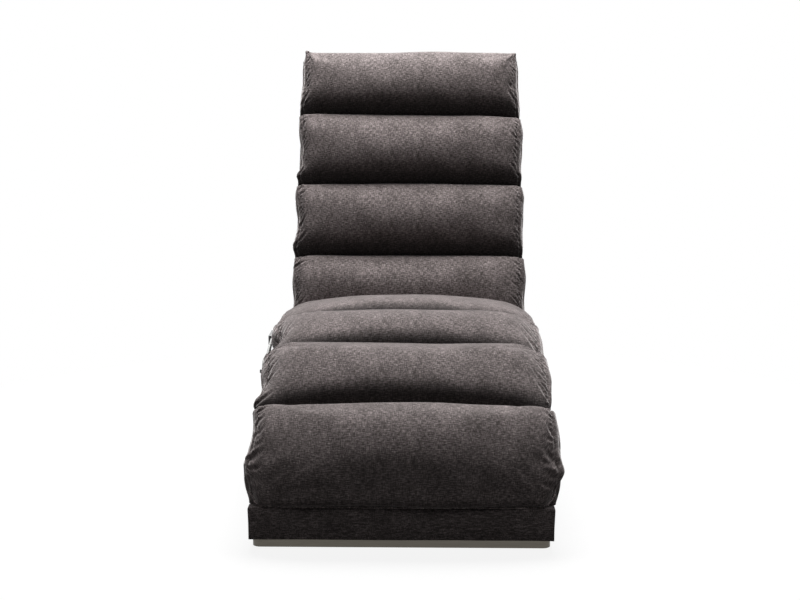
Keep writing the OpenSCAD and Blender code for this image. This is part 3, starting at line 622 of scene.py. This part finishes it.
def noise(tree, vector, stretch, scale, detail=2.0, rough=0.5):
    """Noise on stretched coordinates; the scale counts features to the metre."""
    mapping = add_node(tree, "ShaderNodeMapping")
    mapping.inputs["Scale"].default_value = stretch
    tree.links.new(vector, mapping.inputs["Vector"])
    texture = add_node(tree, "ShaderNodeTexNoise")
    texture.inputs["Scale"].default_value = scale
    texture.inputs["Detail"].default_value = detail
    texture.inputs["Roughness"].default_value = rough
    tree.links.new(mapping.outputs["Vector"], texture.inputs["Vector"])
    return texture.outputs["Fac"]


def mix_values(tree, a, b, share):
    node = add_node(tree, "ShaderNodeMix", data_type="FLOAT")
    node.inputs[0].default_value = share
    tree.links.new(a, node.inputs[2])
    tree.links.new(b, node.inputs[3])
    return node.outputs[0]


def combine(tree, a, b, how):
    """The sum, product or larger of two values."""
    node = add_node(tree, "ShaderNodeMath", operation=how)
    tree.links.new(a, node.inputs[0])
    tree.links.new(b, node.inputs[1])
    return node.outputs[0]


def spread(tree, value, low, high, start=0.0, end=1.0):
    """Stretches a span of a value over another span."""
    node = add_node(tree, "ShaderNodeMapRange")
    for name, number in (("From Min", low), ("From Max", high), ("To Min", start), ("To Max", end)):
        node.inputs[name].default_value = number
    tree.links.new(value, node.inputs["Value"])
    return node.outputs["Result"]


def mix_colours(tree, value, dark, light):
    node = add_node(tree, "ShaderNodeMix", data_type="RGBA")
    tree.links.new(value, node.inputs["Factor"])
    tree.links.new(dark, node.inputs["A"])
    tree.links.new(light, node.inputs["B"])
    return node.outputs["Result"]


class Effect:
    """A shader group: a place, two colours and a painted-shade factor become a colour and a height."""

    def __init__(self, name):
        self.tree = tree = bpy.data.node_groups.new(name, "ShaderNodeTree")
        given = (("Vector", "Vector"), ("Dark", "Color"), ("Light", "Color"), ("Stand", "Float"))
        for socket, kind in given:
            tree.interface.new_socket(name=socket, in_out="INPUT", socket_type="NodeSocket" + kind)
        for socket, kind in (("Color", "Color"), ("Height", "Float")):
            tree.interface.new_socket(name=socket, in_out="OUTPUT", socket_type="NodeSocket" + kind)
        self.given, self.result = tree.nodes.new("NodeGroupInput"), tree.nodes.new("NodeGroupOutput")
        self.vector = self.given.outputs["Vector"]

    def finish(self, shade, height):
        colour = mix_colours(self.tree, shade, self.given.outputs["Dark"], self.given.outputs["Light"])
        # Painted shade: the colour is scaled by a factor that falls below one near the rolls' seams, where
        # the creases lie in shade
        dimmed = add_node(self.tree, "ShaderNodeVectorMath", operation="SCALE")
        self.tree.links.new(colour, dimmed.inputs[0])
        self.tree.links.new(self.given.outputs["Stand"], dimmed.inputs["Scale"])
        self.tree.links.new(dimmed.outputs[0], self.result.inputs["Color"])
        self.tree.links.new(height, self.result.inputs["Height"])
        return self.tree


# Noises: features to the metre, shares that they add, and the span of their sum that is spread out
EVEN = (1.0, 1.0, 1.0)
YARN_SCALE = 440
SPECK_SCALE = 560
STREAK_SCALE = 60
CLOUD_SCALE = 14
ALONG_SHARE = 0.4
SPECK_SHARE = 0.25
STREAK_SHARE = 0.07
CLOUD_SHARE = 0.12
CHENILLE_SPAN = (0.38, 0.66)
BRUSH_SCALE = 900
SMEAR_SCALE = 30
SMEAR_SHARE = 0.3
BRUSH_SPAN = (0.35, 0.65)
GRAIN_SCALE = 600
GRAIN_SPAN = (0.3, 0.7)


def chenille():
    """Short slubs across and along with specks of fibre, in broader streaks and clouds."""
    effect = Effect("chenille")
    tree, vector = effect.tree, effect.vector
    across = noise(tree, vector, (0.20, 1.0, 1.0), YARN_SCALE, 1.0)
    along = noise(tree, vector, (1.0, 0.20, 0.5), YARN_SCALE, 1.0)
    specks = noise(tree, vector, EVEN, SPECK_SCALE, 1.0)
    streaks = noise(tree, vector, (1.0, 0.3, 1.0), STREAK_SCALE, 1.0)
    clouds = noise(tree, vector, EVEN, CLOUD_SCALE, 2.0)
    yarn = mix_values(tree, mix_values(tree, across, along, ALONG_SHARE), specks, SPECK_SHARE)
    shade = mix_values(tree, mix_values(tree, yarn, streaks, STREAK_SHARE), clouds, CLOUD_SHARE)
    raised = spread(tree, shade, *CHENILLE_SPAN)
    return effect.finish(combine(tree, raised, raised, "MULTIPLY"), yarn)


def brushing():
    """Fine brush lines with a few broader smears; the lines run where the vector is squeezed."""
    effect = Effect("brushing")
    lines = noise(effect.tree, effect.vector, EVEN, BRUSH_SCALE, 3.0)
    smears = noise(effect.tree, effect.vector, EVEN, SMEAR_SCALE, 2.0)
    tone = mix_values(effect.tree, lines, smears, SMEAR_SHARE)
    return effect.finish(spread(effect.tree, tone, *BRUSH_SPAN), lines)


def graining():
    """A fine irregular grain, as paint and moulded plastic have it."""
    effect = Effect("graining")
    grain = noise(effect.tree, effect.vector, EVEN, GRAIN_SCALE, 3.0)
    return effect.finish(spread(effect.tree, grain, *GRAIN_SPAN), grain)


CHENILLE, BRUSHING, GRAINING = chenille(), brushing(), graining()
CHENILLE_DARK = (0.052, 0.0435, 0.041)
CHENILLE_LIGHT = (0.480, 0.407, 0.404)
FABRIC_VALUES = {"Roughness": 0.95, "Specular IOR Level": 0.15, "Sheen Weight": 1.0,
                 "Sheen Roughness": 0.3, "Sheen Tint": (0.90, 0.85, 0.84, 1)}
METAL_DARK_SHARE = 0.82
GRAIN_SHARES = (0.85, 1.15)
WOOD_DARK = (0.040, 0.033, 0.028)
WOOD_LIGHT = (0.085, 0.072, 0.062)
WOOD_STREAK_SCALE = 60
WOOD_STREAK_STRETCH = (1.0, 0.06, 1.0)
PORE_SCALE = 260
PORE_STRETCH = (4.0, 0.24, 4.0)
PORE_SHARE = 0.3
WOOD_ROUGHNESS = 0.7
COAT_ROUGHNESS = 0.08

# Strength and depth in metres of each relief
FABRIC_BUMP = (0.6, 0.0014)
METAL_BUMP = (0.15, 0.0002)
GRAIN_BUMP = (0.08, 0.0002)


def apply_effect(material_name, effect, vector_of, dark, light, bump, painted_shade_of=None):
    """A material that wears an effect; bump is its strength and its depth in metres."""
    material, tree, shader = new_material(material_name)
    worn = add_node(tree, "ShaderNodeGroup", node_tree=effect)
    tree.links.new(vector_of(tree), worn.inputs["Vector"])
    worn.inputs["Dark"].default_value = (*dark, 1)
    worn.inputs["Light"].default_value = (*light, 1)
    worn.inputs["Stand"].default_value = 1.0
    # A painted shade, where given, dims the colour
    if painted_shade_of:
        tree.links.new(painted_shade_of(tree), worn.inputs["Stand"])
    tree.links.new(worn.outputs["Color"], shader.inputs["Base Color"])
    relief = add_node(tree, "ShaderNodeBump")
    relief.inputs["Strength"].default_value, relief.inputs["Distance"].default_value = bump
    tree.links.new(worn.outputs["Height"], relief.inputs["Height"])
    tree.links.new(relief.outputs["Normal"], shader.inputs["Normal"])
    return material, shader


def object_place(tree):
    return add_node(tree, "ShaderNodeTexCoord").outputs["Object"]


def weave_place(tree):
    return add_node(tree, "ShaderNodeAttribute", attribute_name="weave").outputs["Vector"]


# Painted shade near the rolls' seams, read from their skins
def seam_shade_of_skin(tree):
    return add_node(tree, "ShaderNodeAttribute", attribute_name="nap").outputs["Fac"]


def squeezed_place(*stretch):
    """Coordinates squeezed along the brush lines."""
    def place(tree):
        mapping = add_node(tree, "ShaderNodeMapping")
        mapping.inputs["Scale"].default_value = stretch
        tree.links.new(object_place(tree), mapping.inputs["Vector"])
        return mapping.outputs["Vector"]
    return place


def fabric_material(material_name, vector_of, lighter=1.0, painted_shade_of=None):
    """Charcoal chenille with a soft sheen."""
    dark, light = (tuple(lighter * c for c in colour) for colour in (CHENILLE_DARK, CHENILLE_LIGHT))
    material, shader = apply_effect(material_name, CHENILLE, vector_of, dark, light, FABRIC_BUMP, painted_shade_of)
    for name, value in FABRIC_VALUES.items():
        shader.inputs[name].default_value = value
    return material


def metal_material(name, colour, rough, vector_of):
    """Metal with fine brush lines."""
    dark = tuple(METAL_DARK_SHARE * c for c in colour)
    material, shader = apply_effect(name, BRUSHING, vector_of, dark, colour, METAL_BUMP)
    shader.inputs["Metallic"].default_value = 1.0
    shader.inputs["Roughness"].default_value = rough
    return material


def grained_material(name, colour, rough, coat=0.0):
    """Painted or moulded surface."""
    dark, light = (tuple(c * share for c in colour) for share in GRAIN_SHARES)
    material, shader = apply_effect(name, GRAINING, object_place, dark, light, GRAIN_BUMP)
    shader.inputs["Roughness"].default_value = rough
    shader.inputs["Coat Weight"].default_value = coat
    shader.inputs["Coat Roughness"].default_value = COAT_ROUGHNESS
    return material


def wood_material(name):
    """Birch stained dark, so that it doesn't show in the gaps: long streaks of grain and fine pores."""
    material, tree, shader = new_material(name)
    place = object_place(tree)
    streaks = noise(tree, place, WOOD_STREAK_STRETCH, WOOD_STREAK_SCALE, 4.0, 0.6)
    pores = noise(tree, place, PORE_STRETCH, PORE_SCALE, 2.0)
    colour = add_node(tree, "ShaderNodeMix", data_type="RGBA")
    colour.inputs["A"].default_value = (*WOOD_DARK, 1)
    colour.inputs["B"].default_value = (*WOOD_LIGHT, 1)
    grain = mix_values(tree, streaks, pores, PORE_SHARE)
    tree.links.new(spread(tree, grain, *GRAIN_SPAN), colour.inputs["Factor"])
    tree.links.new(colour.outputs["Result"], shader.inputs["Base Color"])
    shader.inputs["Roughness"].default_value = WOOD_ROUGHNESS
    return material


# The rolls' chenille wears painted shade near their foot-side seams
FABRIC = fabric_material("charcoal_chenille", weave_place, painted_shade_of=seam_shade_of_skin)
PANEL_FABRIC = fabric_material("charcoal_panel_chenille", object_place)
# Painted highlight: the piping cord wears the chenille 2.8 times lighter, in place of the light that its
# raised edge catches
PIPING_HIGHLIGHT_FABRIC = fabric_material("charcoal_piping", object_place, 2.8)
STRIP = metal_material("brushed_strip", (0.122, 0.112, 0.095), 0.38, squeezed_place(0.03, 0.03, 1.0))
BRIGHT = metal_material("zinc_steel", (0.20, 0.20, 0.195), 0.55, squeezed_place(1.0, 0.05, 1.0))
BY_SLOT = {"fabric": PANEL_FABRIC, "strip_steel": STRIP, "bright_steel": BRIGHT,
           "wood": wood_material("stained_birch"),
           "frame_steel": grained_material("grey_powder_coat", (0.12, 0.125, 0.13), 0.5),
           "black_paint": grained_material("satin_black_paint", (0.02, 0.02, 0.02), 0.35),
           "black_plastic": grained_material("gloss_black_plastic", (0.012, 0.012, 0.013), 0.12, coat=0.3),
           "nylon": grained_material("natural_nylon", (0.72, 0.72, 0.68), 0.45)}


def dress_nodes():
    """Gives every piece of the frame the finish of its slot."""
    for part in frame["record"]["subparts"]:
        node = NODES[part["node"]]
        node.data.materials.clear()
        node.data.materials.append(BY_SLOT[part["material_slot"]])


# Covers: the frame's own plain shells, rounded at their edges and a little uneven over the boards

COVER_BODIES = {"front_cover": "base", "rear_cover": "base", "side_cover_left": "base",
                "side_cover_right": "base", "hinge_drum": "backrest", "back_cover": "backrest"}
COVER_ROUND = 0.0028
COVER_GRID = 0.045
COVER_RISE = 0.0022
COVER_SIZE = 0.16
COVER_SAG_SHARE = 0.35
COVER_SMOOTH_ANGLE = 40
OUTSIDE_DEPTH = 0.003

# The covers draw in a little: the base's towards the floor, the back's towards its top
COVER_INSET = 0.001
BASE_TAPER = 0.0040
BACK_TAPER = 0.0030

# The front cover stands up to the foot roll's lower edge, the covers fold inwards over their boards,
# and the side covers' rims lean in
FRONT_STAND = 0.0080
FOLD_STAND = 0.0034
FOLD_REACH = 0.028
FOLD_RIM = 0.012
RIM_LEAN = 0.0040
RIM_HEIGHT = 0.045

MERGE_DISTANCE = 1e-5
FLAT_ANGLE = 1
SHARP_ANGLE = 30


def copy_of(node, name, body, material):
    """A new piece with the merged mesh of a node, in its place."""
    source = NODES[node]
    mesh = source.data.copy()
    piece = bpy.data.objects.new(name, mesh)
    bpy.context.scene.collection.objects.link(piece)
    mesh.materials.clear()
    mesh.materials.append(material)
    pick(piece)
    bpy.ops.object.mode_set(mode="EDIT")
    bpy.ops.mesh.select_all(action="SELECT")
    bpy.ops.mesh.remove_doubles(threshold=MERGE_DISTANCE)
    bpy.ops.mesh.dissolve_limited(angle_limit=math.radians(FLAT_ANGLE))
    bpy.ops.object.mode_set(mode="OBJECT")
    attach(piece, body)
    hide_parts(node)
    return piece


def round_edges(piece, width, segments):
    bevel = piece.modifiers.new("Edges", "BEVEL")
    bevel.width = width
    bevel.segments = segments
    bevel.limit_method = "ANGLE"
    bevel.angle_limit = math.radians(SHARP_ANGLE)
    pick(piece)
    bpy.ops.object.modifier_apply(modifier=bevel.name)


def cut_grid(piece, step):
    """Cuts a flat-faced piece by planes across all three directions, so that it can bend."""
    corners = np.array(piece.bound_box)
    low, high = corners.min(axis=0), corners.max(axis=0)
    pick(piece)
    bpy.ops.object.mode_set(mode="EDIT")
    for axis in range(3):
        count = int((high[axis] - low[axis]) / step)
        for k in range(1, count + 1):
            place = [0.0, 0.0, 0.0]
            place[axis] = low[axis] + (high[axis] - low[axis]) * k / (count + 1)
            bpy.ops.mesh.select_all(action="SELECT")
            bpy.ops.mesh.bisect(plane_co=place, plane_no=[1.0 if a == axis else 0.0 for a in range(3)])
    bpy.ops.object.mode_set(mode="OBJECT")


def fold_over(node, points, inner):
    """Draws a cover's inner rim over its board, a little above the deck line."""
    corners = np.array([deck(i) for i in range(len(SLOPES) + 1)])
    if node == "front_cover":
        top = np.clip((points[:, 2] - FRONT_HEIGHT) / FOLD_RIM + 1, 0, 1)
        points[:, 1] += FOLD_REACH * top * (points[:, 1] > points[:, 1].mean())
        points[:, 2] += FRONT_STAND * top
    elif node.startswith("side_cover"):
        seat = corners[:HINGE_SEAM + 1]
        below = np.interp(points[:, 1], seat[:, 0], seat[:, 1]) - points[:, 2]
        top = np.clip(1 - below / FOLD_RIM, 0, 1) * (points[:, 1] < seat[-1, 0])
        lean = RIM_LEAN * np.clip(1 - below / RIM_HEIGHT, 0, 1) ** 2
        points[:, 0] -= np.sign(points[:, 0]) * np.where(inner, FOLD_REACH * top, lean)
        points[:, 2] += FOLD_STAND * top
    elif node == "back_cover":
        back = corners[HINGE_SEAM:]
        behind = points[:, 1] - np.interp(points[:, 2], back[:, 1], back[:, 0])
        top = np.clip(1 - behind / FOLD_RIM, 0, 1) * (points[:, 2] < back[-1, 1] - FOLD_RIM)
        points[:, 0] -= np.sign(points[:, 0]) * FOLD_REACH * top * inner
        points[:, 1] -= FOLD_STAND * top


def make_cover(node, material):
    """An upholstered cover: rounded edges and cloth that lies a little unevenly over its board."""
    piece = copy_of(node, "soft_" + node, COVER_BODIES[node], material)
    cut_grid(piece, COVER_GRID)
    round_edges(piece, COVER_ROUND, 3)
    points, normals = read_points(piece.data), read_points(piece.data, "normal")
    rise = np.array([soft_noise.noise(Vector(p) / COVER_SIZE) for p in points]) - COVER_SAG_SHARE
    points += normals * (COVER_RISE * rise)[:, None]
    outside = np.abs(points[:, 0]) > np.abs(points[:, 0]).max() - OUTSIDE_DEPTH
    if COVER_BODIES[node] == "base":
        taper = BASE_TAPER * np.clip(1 - points[:, 2] / FRONT_HEIGHT, 0, 1)
    else:
        low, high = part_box(node)
        taper = BACK_TAPER * np.clip((points[:, 2] - low[2]) / (high[2] - low[2]), 0, 1) ** 2
    points[:, 0] -= np.sign(points[:, 0]) * (COVER_INSET + taper) * outside
    fold_over(node, points, ~outside)
    write_points(piece.data, points)
    pick(piece)
    bpy.ops.object.shade_smooth_by_angle(angle=math.radians(COVER_SMOOTH_ANGLE))
    return piece


# Hard pieces

RIGID_SMOOTH_ANGLE = 35
SIDE_TOLERANCE = 1e-4


def make_rigid(node, body, finish, width, segments, axis=0, fuller=0.0):
    """A hard piece with its sharp edges broken, and fuller at its left or lower side if asked."""
    piece = copy_of(node, "finished_" + node, body, BY_SLOT[finish])
    points = read_points(piece.data)
    points[points[:, axis] < points[:, axis].min() + SIDE_TOLERANCE, axis] -= fuller
    write_points(piece.data, points)
    round_edges(piece, width, segments)
    pick(piece)
    bpy.ops.object.shade_smooth_by_angle(angle=math.radians(RIGID_SMOOTH_ANGLE))
    return piece


# Piping along the foot roll's lower front edge

PIPING_RADIUS = 0.0018
PIPING_ROUNDNESS = 2
PIPING_END_RINGS = 3


def make_piping(roll_piece, material):
    """A thin sewn cord along the foot roll's lower front edge, up over both cut corners."""
    roll = Roll(0)
    size = len(roll.ring(0, roll.counts()))
    points, normals = read_points(roll_piece.data), read_points(roll_piece.data, "normal")
    rings = len(roll.places())
    picked = [(CAP_RINGS + k) * size + WALL_STEPS for k in range(PIPING_END_RINGS, rings - PIPING_END_RINGS)]
    path = points[picked] + PIPING_RADIUS * normals[picked]
    curve = bpy.data.curves.new("foot_piping", "CURVE")
    curve.dimensions = "3D"
    curve.bevel_depth = PIPING_RADIUS
    curve.bevel_resolution = PIPING_ROUNDNESS
    curve.use_fill_caps = True
    spline = curve.splines.new("POLY")
    spline.points.add(len(path) - 1)
    for point, place in zip(spline.points, path):
        point.co = (*place, 1)
    cord = bpy.data.objects.new("foot_piping", curve)
    bpy.context.scene.collection.objects.link(cord)
    pick(cord)
    bpy.ops.object.convert(target="MESH")
    cord = bpy.context.object
    cord.data.materials.clear()
    cord.data.materials.append(material)
    bpy.ops.object.shade_smooth()
    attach(cord, "base")
    return cord


def build():
    dress_nodes()
    rolls = [make_roll(index, FABRIC) for index in range(len(SLOPES))]
    for node in COVER_BODIES:
        make_cover(node, PANEL_FABRIC)
    make_piping(rolls[0], PIPING_HIGHLIGHT_FABRIC)
    make_rigid("lever_grip", "lever", "black_plastic", width=0.0025, segments=4, fuller=0.003)
    make_rigid("plinth_strip", "base", "strip_steel", width=0.0005, segments=2, axis=2, fuller=0.0034)
    make_rigid("lever_arm", "lever", "bright_steel", width=0.0008, segments=2)
    make_rigid("lever_cap", "lever", "black_plastic", width=0.0012, segments=3)
    make_rigid("floor_glides", "base", "nylon", width=0.0006, segments=2)


build()

# Studio: pale floor, large soft lights from above, small ones around and a weak even fill

CAMERA_PLACE = (0.058, -3.917, 1.121)
CAMERA_PITCH = 9.5
CAMERA_YAW = 1.06
CAMERA_LENS = 67.5
CAMERA_SENSOR = 36.0
FLOOR_COLOUR = (0.93, 0.93, 0.93)
FLOOR_BOUNCE = (0.06, 0.06, 0.06)
FLOOR_GLOW = 0.88
FLOOR_ROUGHNESS = 0.9
FLOOR_FADE = (0.9, 1.7)
FLOOR_RADIUS = 30
FILL_STRENGTH = 0.015

# Place, what it points at, size and power of each light
LIGHTS = {
    "overhead": ((0.0, 1.25, 3.3), (0.0, 0.35, 0.3), (2.4, 1.2), 178),
    "rear": ((0.0, 3.0, 3.6), (0.0, -0.6, 0.35), (2.0, 1.0), 110),
    "left": ((-2.8, 0.6, 1.5), (0.0, 0.3, 0.5), (1.2, 2.2), 6),
    "right": ((2.8, 0.6, 1.5), (0.0, 0.3, 0.5), (1.2, 2.2), 6),
    "behind": ((0.0, 3.8, 1.9), (0.0, 0.9, 0.6), (2.4, 1.4), 12),
    "front": ((0.0, -2.6, 3.4), (0.0, -0.6, 0.2), (1.6, 1.0), 16),
}


def add_camera():
    data = bpy.data.cameras.new("camera")
    data.lens = CAMERA_LENS
    data.sensor_width = CAMERA_SENSOR
    camera = bpy.data.objects.new("camera", data)
    bpy.context.scene.collection.objects.link(camera)
    camera.location = CAMERA_PLACE
    camera.rotation_euler = (math.radians(90 - CAMERA_PITCH), 0, math.radians(CAMERA_YAW))
    bpy.context.scene.camera = camera


def add_light(name, place, target, size, power):
    data = bpy.data.lights.new(name, "AREA")
    data.shape = "RECTANGLE"
    data.size, data.size_y = size
    data.energy = power
    light = bpy.data.objects.new(name, data)
    bpy.context.scene.collection.objects.link(light)
    light.location = place
    light.rotation_euler = (Vector(target) - Vector(place)).to_track_quat("-Z", "Y").to_euler()


def seen_directly(tree):
    """1 where the camera, a reflection or glass looks straight at it."""
    path = add_node(tree, "ShaderNodeLightPath")
    either = combine(tree, path.outputs["Is Camera Ray"], path.outputs["Is Glossy Ray"], "MAXIMUM")
    return combine(tree, either, path.outputs["Is Transmission Ray"], "MAXIMUM")


def add_world():
    world = bpy.data.worlds.new("studio")
    bpy.context.scene.world = world
    world.use_nodes = True
    tree = world.node_tree
    background = tree.nodes["Background"]
    tree.links.new(spread(tree, seen_directly(tree), 0, 1, FILL_STRENGTH, 1), background.inputs["Strength"])
    background.inputs["Color"].default_value = (1, 1, 1, 1)


def add_floor():
    """A pale floor that fades to white away from the chair."""
    deselect()
    bpy.ops.mesh.primitive_circle_add(vertices=64, radius=FLOOR_RADIUS, fill_type="NGON", location=(0, 0, 0))
    floor = bpy.context.object
    floor.name = "studio_floor"
    material, tree, shader = new_material("studio_floor")
    shade = add_node(tree, "ShaderNodeMix", data_type="RGBA")
    shade.inputs["A"].default_value = (*FLOOR_BOUNCE, 1)
    shade.inputs["B"].default_value = (*FLOOR_COLOUR, 1)
    tree.links.new(seen_directly(tree), shade.inputs["Factor"])
    tree.links.new(shade.outputs["Result"], shader.inputs["Base Color"])
    shader.inputs["Roughness"].default_value = FLOOR_ROUGHNESS
    shader.inputs["Specular IOR Level"].default_value = 0.0
    white = add_node(tree, "ShaderNodeEmission")
    place = add_node(tree, "ShaderNodeTexCoord").outputs["Object"]
    length = add_node(tree, "ShaderNodeVectorMath", operation="LENGTH")
    tree.links.new(place, length.inputs[0])
    fade = spread(tree, length.outputs["Value"], *FLOOR_FADE, FLOOR_GLOW)
    factor = combine(tree, fade, seen_directly(tree), "MULTIPLY")
    mixer = add_node(tree, "ShaderNodeMixShader")
    tree.links.new(factor, mixer.inputs[0])
    tree.links.new(shader.outputs[0], mixer.inputs[1])
    tree.links.new(white.outputs[0], mixer.inputs[2])
    tree.links.new(mixer.outputs[0], tree.nodes["Material Output"].inputs["Surface"])
    floor.data.materials.append(material)


bpy.context.scene.view_settings.view_transform = "Standard"
add_camera()
add_world()
add_floor()
for light_name, light_plan in LIGHTS.items():
    add_light(light_name, *light_plan)
